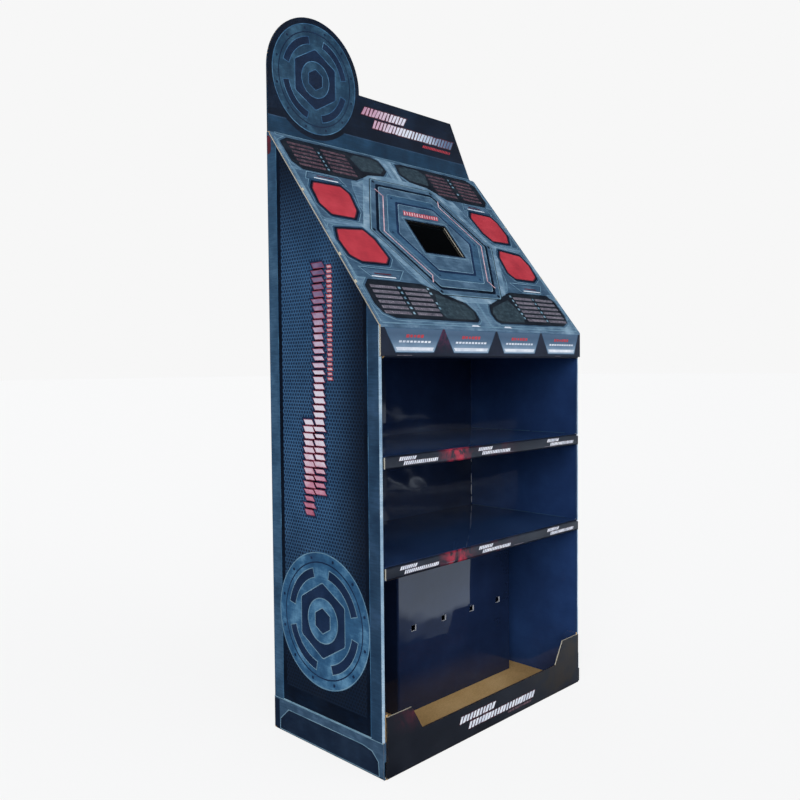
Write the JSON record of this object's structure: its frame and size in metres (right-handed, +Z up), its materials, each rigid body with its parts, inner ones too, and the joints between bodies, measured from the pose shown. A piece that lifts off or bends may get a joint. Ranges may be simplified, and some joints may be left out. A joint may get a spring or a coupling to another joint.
{
  "type": "cardboard display stand",
  "caption": "Free-standing shop display folded from corrugated board, with shelves, a sloping deck with a screen window, a header card with a round arch and a lipped base tray.",
  "frame": {"origin": "centre of the stand's footprint on the floor", "axes": "+Z up, -Y out of the open front that shoppers face, +X to the right seen from the front"},
  "size_m": [0.6, 0.3034, 1.3755],
  "materials": {
    "printed_board": "gloss laminate",
    "navy_board": "gloss laminate",
    "deck_board": "gloss laminate",
    "header_board": "gloss laminate",
    "tray_board": "gloss laminate",
    "kraft_board": "raw kraft",
    "black_plastic": "gloss"
  },
  "bodies": {
    "root": {"body_wrap": "printed_board", "back_liner": "navy_board", "deck_hood": "deck_board", "screen_player": "black_plastic", "screen_cradle": "kraft_board", "header_card": "header_board", "upper_shelf": "navy_board", "lower_shelf": "navy_board", "riser_box": "navy_board", "base_tray": "tray_board"}
  },
  "joints": []
}
